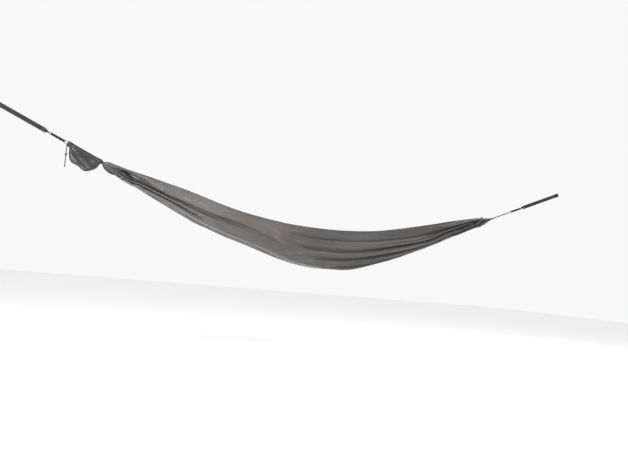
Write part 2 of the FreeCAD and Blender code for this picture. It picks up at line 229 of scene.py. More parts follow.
# ---- materials ----
class Shader:
    """A material's nodes, made one after another."""

    def __init__(self, name, color, roughness, metallic=0.0, sheen=0.0, sheen_roughness=0.5, specular=0.5):
        self.material = bpy.data.materials.new(name)
        self.material.use_nodes = True
        self.tree = self.material.node_tree
        self.base = self.tree.nodes["Principled BSDF"]
        looks = {"Base Color": (*color, 1.0), "Roughness": roughness, "Metallic": metallic, "Sheen Weight": sheen,
                 "Sheen Roughness": sheen_roughness, "Specular IOR Level": specular}
        for socket, value in looks.items():
            self.put(value, self.base.inputs[socket])

    def put(self, value, socket):
        if isinstance(value, (int, float, tuple)):
            socket.default_value = value
        else:
            self.tree.links.new(value, socket)

    def node(self, kind, inputs=(), **settings):
        node = self.tree.nodes.new(kind)
        for key, value in settings.items():
            setattr(node, key, value)
        for key, value in dict(inputs).items():
            self.put(value, node.inputs[key])
        return node

    def math(self, operation, a, b=0.0):
        return self.node("ShaderNodeMath", {0: a, 1: b}, operation=operation).outputs[0]

    def attribute(self):
        out = self.node("ShaderNodeAttribute", attribute_name="lay").outputs["Vector"]
        split = self.node("ShaderNodeSeparateXYZ", {0: out})
        return split.outputs[0], split.outputs[1], split.outputs[2]

    def vector(self, x, y, z=0.0):
        return self.node("ShaderNodeCombineXYZ", {0: x, 1: y, 2: z}).outputs[0]

    def position(self):
        return self.node("ShaderNodeTexCoord").outputs["Object"]

    def noise(self, vector, scale, detail=3.0, roughness=0.5):
        inputs = {"Vector": vector, "Scale": scale, "Detail": detail, "Roughness": roughness}
        return self.node("ShaderNodeTexNoise", inputs).outputs[0]

    def ramp(self, value, low, high, out_low=0.0, out_high=1.0):
        inputs = {0: value, 1: low, 2: high, 3: out_low, 4: out_high}
        return self.node("ShaderNodeMapRange", inputs, interpolation_type="SMOOTHSTEP").outputs[0]

    def wave(self, value, pitch):
        """0 to 1 and back over each pitch."""
        turn = self.math("MULTIPLY", value, 2 * math.pi / pitch)
        inputs = {0: self.math("SINE", turn), 1: 0.5, 2: 0.5}
        return self.node("ShaderNodeMath", inputs, operation="MULTIPLY_ADD").outputs[0]

    def mix(self, factor, a, b):
        """Two colours mixed, each of them a tuple or an earlier node's output."""
        a, b = ((*color, 1.0) if isinstance(color, tuple) else color for color in (a, b))
        return self.node("ShaderNodeMix", {0: factor, 6: a, 7: b}, data_type="RGBA").outputs[2]

    def color(self, factor, a, b):
        self.put(self.mix(factor, a, b), self.base.inputs["Base Color"])

    def roughness(self, value):
        self.put(value, self.base.inputs["Roughness"])

    def bump(self, height, distance, strength=1.0):
        below = self.base.inputs["Normal"]
        inputs = {"Height": height, "Distance": distance, "Strength": strength}
        node = self.node("ShaderNodeBump", inputs)
        if below.is_linked:
            self.tree.links.new(below.links[0].from_socket, node.inputs["Normal"])
        self.tree.links.new(node.outputs[0], below)


def woven_nylon(name, dark, light, thread=0.0006, ripstop=0.005, folds=1.0):
    """Calendered nylon: a fine plain weave, a raised ripstop grid and soft creases along the span."""
    s = Shader(name, dark, 0.55, sheen=0.06, sheen_roughness=0.4, specular=0.3)
    u, v, _ = s.attribute()
    weave = s.math("MULTIPLY", s.wave(u, thread), s.wave(v, thread))
    grid = s.math("MAXIMUM", s.ramp(s.wave(u, ripstop), 0.93, 0.99), s.ramp(s.wave(v, ripstop), 0.93, 0.99))
    crease = s.noise(s.vector(s.math("MULTIPLY", u, 46.0), s.math("MULTIPLY", v, 2.5)), 1.0, 2.5, 0.5)
    cloud = s.noise(s.vector(s.math("MULTIPLY", u, 7.0), s.math("MULTIPLY", v, 2.2), 3.0), 1.0, 3.0)
    shade = s.math("ADD", s.math("MULTIPLY", cloud, 0.75), s.math("MULTIPLY", crease, 0.35))
    shade = s.math("ADD", shade, s.math("MULTIPLY", grid, 0.10))
    gather_shade = s.ramp(s.math("ABSOLUTE", v), 0.95, 1.42, 0.0, 0.65)  # painted shade: darker towards the gathers, where the folds shade one another
    # the colour of the painted shade towards the gathers
    gather_shade_color = tuple(0.55 * part for part in dark)
    s.put(s.mix(gather_shade, s.mix(s.ramp(shade, 0.30, 0.85), dark, light), gather_shade_color), s.base.inputs["Base Color"])
    s.roughness(s.ramp(cloud, 0.3, 0.7, 0.44, 0.58))
    fold = s.noise(s.vector(s.math("MULTIPLY", u, 19.0), s.math("MULTIPLY", v, 2.6), 7.0), 1.0, 2.0)
    s.bump(fold, 0.012 * folds, 0.6)
    s.bump(crease, 0.004 * folds, 0.5)
    s.bump(s.math("ADD", s.math("MULTIPLY", weave, 0.4), grid), 0.00004, 0.3)
    return s.material


def rolled_hem(name, dark, light):
    """The hem's folded band, with a run of stitches near each edge."""
    s = Shader(name, dark, 0.55, sheen=0.2, sheen_roughness=0.4, specular=0.35)
    run, across, _ = s.attribute()
    stitch = s.ramp(s.wave(run, 0.0032), 0.25, 0.45)
    off_seam = s.math("ABSOLUTE", s.math("SUBTRACT", s.math("ABSOLUTE", across), 0.0028))
    thread = s.math("MULTIPLY", stitch, s.ramp(off_seam, 0.0006, 0.0009, 1.0, 0.0))
    pucker = s.noise(s.vector(s.math("MULTIPLY", run, 160.0), s.math("MULTIPLY", across, 60.0)), 1.0, 2.0)
    s.color(s.ramp(pucker, 0.3, 0.7), dark, light)
    s.bump(pucker, 0.0012, 0.5)
    s.bump(thread, 0.0004, 0.9)
    return s.material


def woven_webbing(name, dark, light, rib_pitch=0.00155, pick_pitch=0.0022):
    """Polyester webbing: fine ribs along it, crossed by picks that step from rib to rib."""
    s = Shader(name, dark, 0.66, sheen=0.08, sheen_roughness=0.35, specular=0.25)
    run, across, edge = s.attribute()
    rib = s.wave(across, rib_pitch)
    column = s.math("FLOOR", s.math("DIVIDE", across, rib_pitch))
    parity = s.math("MODULO", s.math("ADD", column, 100.0), 2.0)  # 100 keeps the count above zero
    step = s.math("ADD", run, s.math("MULTIPLY", parity, pick_pitch / 2))
    pick = s.wave(step, pick_pitch)
    height = s.math("MULTIPLY", s.math("POWER", rib, 0.6), s.math("POWER", pick, 0.6))
    wear = s.noise(s.vector(s.math("MULTIPLY", run, 90.0), s.math("MULTIPLY", across, 260.0)), 1.0, 4.0)
    fuzz = s.math("MULTIPLY", s.ramp(edge, 0.6, 1.0), 0.5)
    shade = s.math("ADD", s.math("MULTIPLY", height, 0.55), s.math("MULTIPLY", wear, 0.5))
    s.color(s.ramp(s.math("ADD", shade, fuzz), 0.2, 1.25), dark, light)
    s.bump(height, 0.0003, 0.6)
    s.bump(wear, 0.0002, 0.3)
    return s.material


def braided(name, dark, light, radius, plaits=8, pitch=0.0042):
    """A round braid: two sets of strands that cross as they wind round."""
    s = Shader(name, dark, 0.64, sheen=0.08, sheen_roughness=0.35, specular=0.25)
    run, cosine, sine = s.attribute()
    angle = s.math("ARCTAN2", sine, cosine)
    turn = s.math("MULTIPLY", run, 2 * math.pi / pitch)
    round_it = s.math("MULTIPLY", angle, plaits / 2)
    left = s.math("SINE", s.math("ADD", round_it, turn))
    right = s.math("SINE", s.math("SUBTRACT", round_it, turn))
    over = s.math("MAXIMUM", left, right)
    wear = s.noise(s.position(), 900.0, 3.0)
    shade = s.math("ADD", s.math("MULTIPLY", over, 0.5), s.math("MULTIPLY", wear, 0.5))
    s.color(s.ramp(shade, -0.1, 0.9), dark, light)
    s.bump(over, radius * 0.25, 0.8)
    s.bump(wear, radius * 0.08, 0.6)
    return s.material


def twisted_thread(name, dark, light):
    """Bonded sewing thread, with a soft twist."""
    s = Shader(name, dark, 0.5, sheen=0.3, specular=0.45)
    wear = s.noise(s.position(), 2600.0, 3.0)
    s.color(s.ramp(wear, 0.3, 0.7), dark, light)
    s.bump(wear, 0.0002, 0.6)
    return s.material


def anodised(name, dark, light):
    """Black anodised aluminium, rubbed brighter where the noise says that it is worn."""
    s = Shader(name, dark, 0.34, metallic=1.0, specular=0.5)
    blotch = s.noise(s.position(), 240.0, 5.0, 0.6)
    stretched = s.node("ShaderNodeMapping", {"Vector": s.position(), "Scale": (300.0, 2400.0, 300.0)}).outputs[0]
    scratch = s.noise(stretched, 1.0, 2.0)
    worn = s.ramp(s.math("ADD", s.math("MULTIPLY", blotch, 0.8), s.math("MULTIPLY", scratch, 0.3)), 0.62, 0.78)
    s.color(worn, dark, light)
    s.roughness(s.ramp(scratch, 0.3, 0.7, 0.26, 0.44))
    s.bump(scratch, 0.00004, 0.5)
    return s.material


def bright_steel(name):
    """Drawn steel for the pins and springs."""
    s = Shader(name, (0.5, 0.5, 0.51), 0.28, metallic=1.0)
    grain = s.noise(s.position(), 1500.0, 3.0)
    s.color(s.ramp(grain, 0.3, 0.7), (0.42, 0.42, 0.43), (0.6, 0.6, 0.6))
    s.roughness(s.ramp(grain, 0.3, 0.7, 0.22, 0.38))
    s.bump(grain, 0.00003, 0.4)
    return s.material


def moulded_plastic(name, dark, light):
    """Moulded plastic with a fine spark-eroded texture."""
    s = Shader(name, dark, 0.48, specular=0.45)
    texture = s.noise(s.position(), 3800.0, 2.0)
    smear = s.noise(s.position(), 260.0, 3.0)
    s.color(s.ramp(smear, 0.35, 0.75), dark, light)
    s.roughness(s.ramp(smear, 0.3, 0.7, 0.40, 0.56))
    s.bump(texture, 0.00005, 0.6)
    return s.material


CORD_R = 0.00175
FABRIC = woven_nylon("nylon", (0.040, 0.0360, 0.0333), (0.066, 0.0600, 0.0555))
SACK_NYLON = woven_nylon("sack_nylon", (0.011, 0.011, 0.0115), (0.017, 0.017, 0.0175), ripstop=0.004, folds=0.12)
HEM = rolled_hem("hem", (0.032, 0.030, 0.029), (0.055, 0.052, 0.050))
WEBBING = woven_webbing("webbing", (0.0015, 0.003, 0.0025), (0.010, 0.018, 0.016))
LINE_BRAID = braided("line_braid", (0.005, 0.005, 0.0055), (0.020, 0.020, 0.021), CORD_R)
BINDING = braided("binding_braid", (0.006, 0.006, 0.0065), (0.026, 0.026, 0.027), CORD_R)
THREAD = twisted_thread("thread", (0.012, 0.018, 0.016), (0.05, 0.065, 0.06))
METAL = anodised("anodised", (0.014, 0.014, 0.015), (0.07, 0.07, 0.073))
STEEL = bright_steel("steel")
PLASTIC = moulded_plastic("plastic", (0.012, 0.012, 0.013), (0.028, 0.028, 0.030))

# ---- the fabric: a sheet that is pleated at both ends and relaxed under its own weight ----
FLAT = (1.40, 2.90)  # across and along
CHANNEL = 0.060  # of the fabric's length, bunched at each end
ROWS, COLUMNS = 145, 161
MID_SHARE, END_SHARE = 0.93, 0.46  # of the width; creases too fine for this mesh take up the rest
SPAN = HALF_CHORD - CHANNEL * math.cos(HANG)
END_DROP = CHANNEL * math.sin(HANG)


def falling(t, power, roundness=2.0):
    """1 at mid-span and 0 at the gathered ends, where t is -1 and 1."""
    return np.maximum(0.0, 1.0 - np.abs(t) ** roundness) ** power


def bump_at(t, centre, width):
    return np.exp(-(((t - centre) / width) ** 2))


def hem_out(t):
    """How far a hem may stand out from the hanging plane."""
    return 0.020 + 0.160 * falling(t, 1.2)


def hem_level(t):
    """The hems' height over the gathered ends. They sag, with a small rise and dip near the left end."""
    tight = 0.012 * bump_at(t, -0.64, 0.13) - 0.009 * bump_at(t, -0.91, 0.08)
    return 0.014 - 0.237 * falling(t + 0.05 * (1 - t * t), 1.37) + tight


def belly_level(t):
    """The lowest that the trough hangs: a sag with one low corner, lifted in three places."""
    corner = 0.014 * bump_at(t, 0.15, 0.10)
    lifted = 0.014 * bump_at(t, -0.32, 0.15) + 0.008 * bump_at(t, -0.76, 0.14) + 0.024 * bump_at(t, 0.72, 0.26)
    return -0.036 - 0.427 * falling(t - 0.011 * (1 - t * t), 1.12, 1.62) - corner + lifted


# Each pleat runs along the span and folds inwards. Its place goes from -1 at the near hem, through 0 at the keel,
# to 1 at the far hem, and its depth is relative to the others'. Both are given at points of the span, -1 to 1.
PLEATS = [
    ([(-1, -0.80), (-0.85, -0.79), (-0.4, -0.77), (-0.2, -0.62)],
     [(-1, 1), (-0.7, 0.6), (-0.35, 0.5), (-0.1, 0)]),
    ([(-0.3, -0.88), (0.0, -0.89), (0.4, -0.87), (1, -0.80)], [(-0.35, 0), (-0.1, 0.6), (0.6, 0.9), (1, 1)]),
    ([(-0.3, -0.72), (0.1, -0.74), (0.5, -0.72), (1, -0.64)], [(-0.35, 0), (0.0, 0.5), (0.5, 0.8), (1, 1)]),
    ([(-0.3, -0.55), (0.2, -0.58), (1, -0.48)], [(-0.20, 0), (0.1, 0.5), (0.5, 0.7), (1, 1)]),
    ([(0.0, -0.38), (0.3, -0.40), (1, -0.30)], [(0.0, 0), (0.2, 0.6), (1, 1)]),
    ([(-0.6, -0.02), (-0.45, -0.11), (-0.1, -0.29), (0, -0.30)],
     [(-0.65, 0), (-0.4, 0.8), (-0.15, 0.7), (-0.02, 0)]),
    ([(-1, -0.58), (-0.5, -0.60)], [(-1, 0.9), (-0.82, 0.5), (-0.55, 0)]),
    ([(-1, -0.35), (-0.6, -0.38)], [(-1, 0.9), (-0.84, 0.5), (-0.68, 0)]),
    ([(-1, -0.12), (1, -0.08)], [(-1, 0.8), (-0.8, 0.6), (-0.6, 0), (0.3, 0), (0.7, 0.8), (1, 0.8)]),
    ([(-1, 0.06), (1, 0.07)], [(-1, 1), (-0.5, 1.5), (0.5, 1.5), (1, 1)]),
    ([(-1, 0.22), (1, 0.20)], [(-1, 1), (-0.4, 1.5), (0.4, 1.5), (1, 1)]),
    ([(-1, 0.42), (0, 0.36), (1, 0.40)], [(-1, 1), (-0.3, 1.4), (0.3, 1.4), (1, 1)]),
    ([(-1, 0.60), (0, 0.55), (1, 0.64)], [(-1, 1), (-0.4, 0.7), (0.3, 0.5), (0.8, 0.8), (1, 1)]),
    ([(-1, 0.80), (0, 0.86), (1, 0.80)], [(-1, 1), (-0.4, 0.5), (0.0, 0), (0.3, 0.1), (0.7, 0.6), (1, 1)]),
]
CURL = math.radians(110)  # the sheet's turn from keel to hem: its walls belly out below the hems
DEEPEST = 0.12  # that a pleat may be
HALVINGS = 30  # of the range that holds the pleats' depth


def blurred(values, width=9):
    """A running mean."""
    return np.convolve(np.pad(values, width // 2, "edge"), np.ones(width) / width, "valid")


def pleated_rows():
    """The sheet before it relaxes: the trough's sections, with smooth panels outside and the spare cloth in pleats
    inside."""
    spans = np.linspace(-1, 1, ROWS)
    places = [blurred(np.interp(spans, *np.array(place).T)) for place, _ in PLEATS]
    depths = [blurred(np.interp(spans, *np.array(depth).T)) for _, depth in PLEATS]
    around = np.linspace(-1, 1, 3001)  # much finer than the mesh, to measure lengths on
    angle = around * CURL
    share = np.linspace(0, 1, COLUMNS)
    rows = np.zeros((ROWS, COLUMNS, 3))
    for index, (row, t) in enumerate(zip(rows, spans)):
        at = t * SPAN / HALF_CHORD
        out, top, low = hem_out(at) * 0.9, hem_level(at), belly_level(at)
        y, z = out * np.sin(angle), low + (top - low) * (1 - np.cos(angle)) / (1 - math.cos(CURL))
        dy, dz = np.gradient(y), np.gradient(z)
        step = np.hypot(dy, dz) + 1e-9
        run = np.cumsum(step)
        fold = np.zeros_like(around)
        base = 0.0045 + 0.0055 * falling(t, 1.0)  # a pleat's half width
        for place, depth in zip(places, depths):
            centre = np.interp(place[index], around, run)
            fold += depth[index] * np.exp(-(np.abs((run - centre) / base) ** 1.7))
        width = FLAT[0] * (END_SHARE + (MID_SHARE - END_SHARE) * falling(t, 0.35))
        low_depth, high_depth = 0.0, DEEPEST
        for _ in range(HALVINGS):
            depth = (low_depth + high_depth) / 2
            fy, fz = y - dz / step * depth * fold, z + dy / step * depth * fold
            length = np.concatenate([[0], np.cumsum(np.hypot(np.diff(fy), np.diff(fz)))])
            if length[-1] < width:
                low_depth = depth
            else:
                high_depth = depth
        length /= length[-1]
        near_end = np.clip((abs(t) - 0.8) / 0.2, 0, 1)
        lean = near_end**1.5 * HANG * np.sign(t)
        centre = -END_DROP * near_end
        rise = np.interp(share, length, fz) - centre
        row[:, 0] = at * HALF_CHORD - math.sin(lean) * rise
        row[:, 1] = np.interp(share, length, fy)
        row[:, 2] = centre + math.cos(lean) * rise
    return rows


STEPS = 40
STEP_TIME = 1 / 400
GRAVITY = 9.81
TOP_SPEED = 2.0
DAMPING = 0.985  # of the speed, kept at each step
MEMORY = 0.20  # how firmly the cloth keeps the folds it starts with
TINY = 1e-12


def pull_pairs(points, free, first, second, rest, stiffness):
    """Moves each pair of points towards its rest distance. first and second index the same number of points."""
    a, b = points[first], points[second]
    gap = b - a
    length = np.sqrt((gap * gap).sum(-1)) + TINY
    weight_a, weight_b = free[first], free[second]
    gap *= (stiffness * (length - rest) / (length * (weight_a + weight_b + TINY)))[..., None]
    points[first] = a + gap * weight_a[..., None]
    points[second] = b - gap * weight_b[..., None]


def links(rows_apart, columns_apart, rest, stiffness):
    """Pairs that many rows and columns apart, in batches that share no point."""
    made = []
    for phase in (0, 1):
        if rows_apart and columns_apart:
            for other in (0, 1):
                for flip in (0, 1):
                    j, k = np.arange(phase, ROWS - 1, 2), np.arange(other, COLUMNS - 1, 2)
                    made.append((np.ix_(j, k + flip), np.ix_(j + 1, k + 1 - flip), rest[np.ix_(j, k)], stiffness))
        elif rows_apart:
            j = np.arange(ROWS - rows_apart)
            j = j[j % (2 * rows_apart) // rows_apart == phase]
            every = slice(None)
            made.append(((j, every), (j + rows_apart, every), rest[j], stiffness))
        else:
            k = np.arange(COLUMNS - columns_apart)
            k = k[k % (2 * columns_apart) // columns_apart == phase]
            every = slice(None)
            made.append(((every, k), (every, k + columns_apart), rest[:, k], stiffness))
    return made


LAYER_PAIRS = np.triu_indices(COLUMNS, 4)  # points of a row, at least four apart
BATCH = 36  # rows at a time


def part_layers(points):
    """Pushes apart the layers of each row that come closer than a few millimetres."""
    t = points[:, :, 0].mean(1) / HALF_CHORD
    apart = 0.0035 + 0.0085 * np.minimum(1, falling(t, 1.0) / 0.5)
    first, second = LAYER_PAIRS
    flat = points[:, :, 1:]
    for start in range(1, ROWS - 1, BATCH):
        stop = min(ROWS - 1, start + BATCH)
        gap = flat[start:stop, second] - flat[start:stop, first]
        squared = (gap * gap).sum(-1)
        row, pair = np.nonzero(squared < apart[start:stop, None] ** 2)
        if not len(row):
            continue
        distance = np.sqrt(squared[row, pair]) + 1e-6
        push = (0.25 * (apart[start:stop][row] - distance) / distance)[:, None] * gap[row, pair]
        np.add.at(flat, (row + start, first[pair]), -push)
        np.add.at(flat, (row + start, second[pair]), push)


def relaxed_sheet():
    """Lets the pleated sheet hang: it can't stretch, it keeps some memory of its folds, and its hems are drawn
    to their line and its belly kept off the space below."""
    points = pleated_rows()
    across = np.linalg.norm(np.diff(points, axis=1), axis=-1)
    along = np.linalg.norm(np.diff(points, axis=0), axis=-1)
    diagonal = np.sqrt(across[:-1] ** 2 + along[:, :-1] ** 2)
    memory = np.linalg.norm(points[:, 4:] - points[:, :-4], axis=-1)
    free = np.ones((ROWS, COLUMNS))
    free[[0, -1]] = 0
    constraints = links(1, 0, along, 1.0) + links(0, 1, across, 0.9)
    constraints += links(2, 0, along[:-1] + along[1:], 0.35)
    constraints += links(0, 2, 0.98 * (across[:, :-1] + across[:, 1:]), 0.10)
    constraints += links(0, 4, memory, MEMORY) + links(1, 1, diagonal, 0.08)
    speed = np.zeros_like(points)
    for count in range(STEPS):
        speed *= DAMPING
        speed[..., 2] -= GRAVITY * STEP_TIME
        speed *= free[..., None]
        moved = points + speed * STEP_TIME
        for constraint in constraints:
            pull_pairs(moved, free, *constraint)
        t = np.clip(moved[:, :, 0] / HALF_CHORD, -1, 1)
        for edge, sign in ((0, -1), (COLUMNS - 1, 1)):
            moved[1:-1, edge, 1] += 0.3 * (sign * 0.85 * hem_out(t[:, edge]) - moved[:, edge, 1])[1:-1]
            moved[1:-1, edge, 2] += 0.3 * (hem_level(t[:, edge]) - moved[:, edge, 2])[1:-1]
        sunk = np.maximum(0, belly_level(t) - moved[..., 2]) * free
        moved[..., 2] += 0.5 * sunk
        proud = np.maximum(0, np.abs(moved[..., 1]) - hem_out(t) - 0.006) * free
        moved[..., 1] -= 0.3 * proud * np.sign(moved[..., 1])
        if count % 4 == 0:
            part_layers(moved)
        speed = (moved - points) / STEP_TIME
        fast = np.linalg.norm(speed, axis=-1, keepdims=True)
        speed *= np.minimum(1, TOP_SPEED / (fast + 1e-9))
        points = moved
    return points


def hammock_body(points):
    """The sheet itself, as a mesh two layers thick."""
    sheet = new_mesh("hammock_sheet", (points + np.array(MIDDLE)).reshape(-1, 3), grid_faces(ROWS, COLUMNS))
    u = np.linspace(-0.5, 0.5, COLUMNS) * FLAT[0]
    v = np.linspace(-0.5, 0.5, ROWS) * (FLAT[1] - 2 * CHANNEL)
    give_lay(sheet, np.stack([np.tile(u, ROWS), np.repeat(v, COLUMNS), np.zeros(ROWS * COLUMNS)], 1))
    subdivided(sheet, 0.0006)
    finish_piece(sheet, "hammock", "hammock_fabric", FABRIC, "hammock_body")
    return sheet


def hem_band(name, points, edge, node):
    """The rolled hem along one long edge: a soft flat band that follows the edge and leans with the cloth."""
    inside = 1 if edge == 0 else COLUMNS - 2
    line = points[:, edge] + np.array(MIDDLE)
    lean = points[:, inside] - points[:, edge]
    lean = np.apply_along_axis(blurred, 0, lean, 7)
    tangents = np.gradient(line, axis=0)
    tangents /= np.linalg.norm(tangents, axis=1)[:, None]
    lean -= tangents * (lean * tangents).sum(1)[:, None]
    lean /= np.linalg.norm(lean, axis=1)[:, None]
    face = np.cross(tangents, lean)
    half_wide, half_thick = 0.0055, 0.0016
    corners, squareness = 12, 0.7
    angle = np.linspace(0, 2 * math.pi, corners, endpoint=False)
    wide = np.sign(np.cos(angle)) * np.abs(np.cos(angle)) ** squareness * half_wide
    thick = np.sign(np.sin(angle)) * np.abs(np.sin(angle)) ** squareness * half_thick
    centre = line + lean * (half_wide - 0.002)
    ring = centre[:, None] + wide[None, :, None] * lean[:, None] + thick[None, :, None] * face[:, None]
    obj = new_mesh(name, ring.reshape(-1, 3), capped(grid_faces(ROWS, corners, True), ROWS, corners))
    run = np.repeat(run_along(line), corners)
    give_lay(obj, np.stack([run, np.tile(wide, ROWS), np.tile(thick, ROWS)], 1))
    subdivided(obj)
    return finish_piece(obj, "hammock", "hem_fabric", HEM, node)


# Each ring's place along the line, its bottom and top across it, and its share of the sheet's width. The first
# ones lie inside the sheet.
CHANNEL_RINGS = [
    (-0.090, -0.026, 0.016, 0.90),
    (-0.074, -0.031, 0.021, 0.98),
    (-0.062, -0.034, 0.024, 1.03),
    (-0.046, -0.033, 0.023, 1.00),
    (-0.031, -0.030, 0.021, 0.97),
    (-0.020, -0.026, 0.018, 0.90),
    (-0.012, -0.022, 0.015, 0.80),
    (-0.006, -0.017, 0.011, 0.62),
    (-0.002, -0.012, 0.0080, 0.42),
    (0.002, -0.0078, 0.0066, 0.28),
    (0.0125, -0.0065, 0.0065, 0.25),
]
NECK_SHARE = CHANNEL_RINGS[-1][3]
CHANNEL_LIFT = {"left": 0.0, "right": 0.014}  # the right bunch's bottom is higher where it is wide


def end_channel(side, points):
    """The bunched channel: the last row's pleats, drawn together into the neck under the whipping."""
    row = points[0 if side == "left" else -1] + np.array(MIDDLE)
    local = np.array([line_matrix(side).inverted() @ Vector(p) for p in row])
    shape = nurbs_line([(0, y, z) for _, y, z in local], 3)
    bottom, height = shape[:, 2].min(), np.ptp(shape[:, 2])
    rings = []
    for x, low, high, wide in CHANNEL_RINGS:
        low += CHANNEL_LIFT[side] * (wide - NECK_SHARE)
        ring = shape * np.array([0, wide, (high - low) / height])
        rings.append(ring + np.array([x, 0, low - bottom * (high - low) / height]))
    obj = new_mesh(f"{side}_end_channel_cloth", np.concatenate(rings), grid_faces(len(rings), len(shape)))
    u = np.tile(run_along(shape), len(rings))
    # the second number runs along the cloth past the sheet's ends, where the nylon's painted shade towards the
    # gathers is deepest
    v = np.repeat([-FLAT[1] / 2 - x for x, *_ in CHANNEL_RINGS], len(shape))
    give_lay(obj, np.stack([u, v, np.zeros_like(u)], 1))
    place(obj, side)
    subdivided(obj, 0.0011)
    return finish_piece(obj, "hammock", "hammock_fabric", FABRIC, f"{side}_end_channel")


# ---- the cords ----
def whipping(side):
    """The binding cord's turns round the neck, with its two ends tucked under."""
    turns, first, last, radius = 3.4, 0.0036, 0.0116, 0.0066 + CORD_R
    share = np.linspace(0, 1, int(turns * 28))
    angle = 2 * math.pi * turns * share
    x = first + (last - first) * share
    line = np.stack([x, radius * np.cos(angle), radius * np.sin(angle)], 1)
    obj = tube(f"{side}_whipping_cord", line, CORD_R * 0.97, 12, (1, 0, 0))
    place(obj, side)
    return finish_piece(obj, "hammock", "binding_cord", BINDING, f"{side}_whipping")


SLEEVE_END = 0.044


def cord_sleeve(side):
    """The thread wound close over the splice, tapering outwards."""
    wraps, start, stop = 22, 0.0132, SLEEVE_END
    share = np.linspace(0, 1, wraps * 6 + 1)
    radius = 0.0054 - 0.0013 * share**1.4 + 0.00022 * np.abs(np.sin(math.pi * wraps * share))
    profile = [(start, 0.0035)] + list(zip(start + (stop - start) * share, radius)) + [(stop + 0.0006, 0.0030)]
    obj = turned(f"{side}_splice_winding", profile)
    place(obj, side)
    return finish_piece(obj, "hammock", "binding_cord", BINDING, f"{side}_cord_sleeve")


def half_turn(centre, radius, sign=1):
    """Control points round one side of a bar, in (x, offset): an octagon's corners just outside the circle."""
    reach = radius / math.cos(math.radians(22.5))
    turns = [math.radians(turn) for turn in (-67.5, -22.5, 22.5, 67.5)]
    return [(centre + sign * reach * math.cos(turn), reach * math.sin(turn)) for turn in turns]


def cord_route():
    """Out of the sleeve, round the carabiner's near rod and back, in the line's frame."""
    start, bar, radius, gap = SLEEVE_END, 0.231, 0.0063, 0.0021
    out = [(start, 0, -gap), (start + 0.12, 0, -gap), (bar - 0.035, 0, -0.0032), (bar - 0.015, 0, -radius)]
    bend = [(x, 0, offset) for x, offset in half_turn(bar, radius)]
    return out + bend + [(x, y, -z) for x, y, z in out[::-1]]


def suspension_cord(side):
    matrix = line_matrix(side)
    route = [matrix @ Vector(p) for p in cord_route()]
    line = nurbs_line(route, 10)
    obj = tube(f"{side}_line", line, CORD_R, 14, (0, 1, 0))
    finish_piece(obj, "hammock", "suspension_cord", LINE_BRAID, f"{side}_suspension_cord")


# ---- the straps ----
WEB_HALF_T = 0.0011
CHOKE = 0.640  # where the strap ends and the anchor loop starts
ROD_AT = 0.303  # the carabiner's far rod
ROD_WRAP = 0.0044 + WEB_HALF_T  # from the rod's middle to the web's
EYE_R = 0.008 + WEB_HALF_T
WEB_GAP = 0.00006  # between layers that lie on each other
LOOP_END = ROD_AT + 0.020  # where the layers meet behind the carabiner
CARABINER_SEAM = (ROD_AT + 0.040, ROD_AT + 0.062)
ANCHOR_SEAM = (0.650, 0.660)


def smooth_step(a, b, value):
    share = np.clip((value - a) / (b - a), 0, 1)
    return share * share * (3 - 2 * share)


def loop_round(centre, radius, tip, lift, outwards):
    """Control points round a bar, from the layer below the seam to the one above, in (x, offset)."""
    sign = 1 if outwards else -1
    shoulder = centre + sign * radius * 0.10 - sign * 0.002
    points = [(tip, -lift), (shoulder, -radius * 0.99)]
    return points + half_turn(centre, radius, sign) + [(shoulder, radius * 0.99), (tip, lift)]


def strap_route():
    """The webbing's middle from one folded-back end to the other, in (x, offset across its face)."""
    lift = WEB_HALF_T + WEB_GAP
    start, stop = CARABINER_SEAM
    route = [(stop, -lift), (0.5 * (start + stop), -lift), (start, -lift), (start - 0.008, -lift)]
    route += loop_round(ROD_AT, ROD_WRAP, LOOP_END + 0.001, lift, False)
    route += [(start - 0.008, lift), (start, lift), (0.5 * (start + stop), lift), (stop + 0.001, lift)]
    route += [(stop + 0.007, 0.35 * lift), (stop + 0.014, 0)]
    route += [(x, 0) for x in np.linspace(stop + 0.03, CHOKE - 0.012, 9)]
    start, stop = ANCHOR_SEAM
    route += [(start - 0.014, 0), (start - 0.007, -0.35 * lift), (start, -lift), (stop, -lift)]
    route += loop_round(LINE - EYE_R + WEB_HALF_T, EYE_R, stop + 0.003, lift, True)
    return route + [(stop, lift), (start + 0.001, lift)]


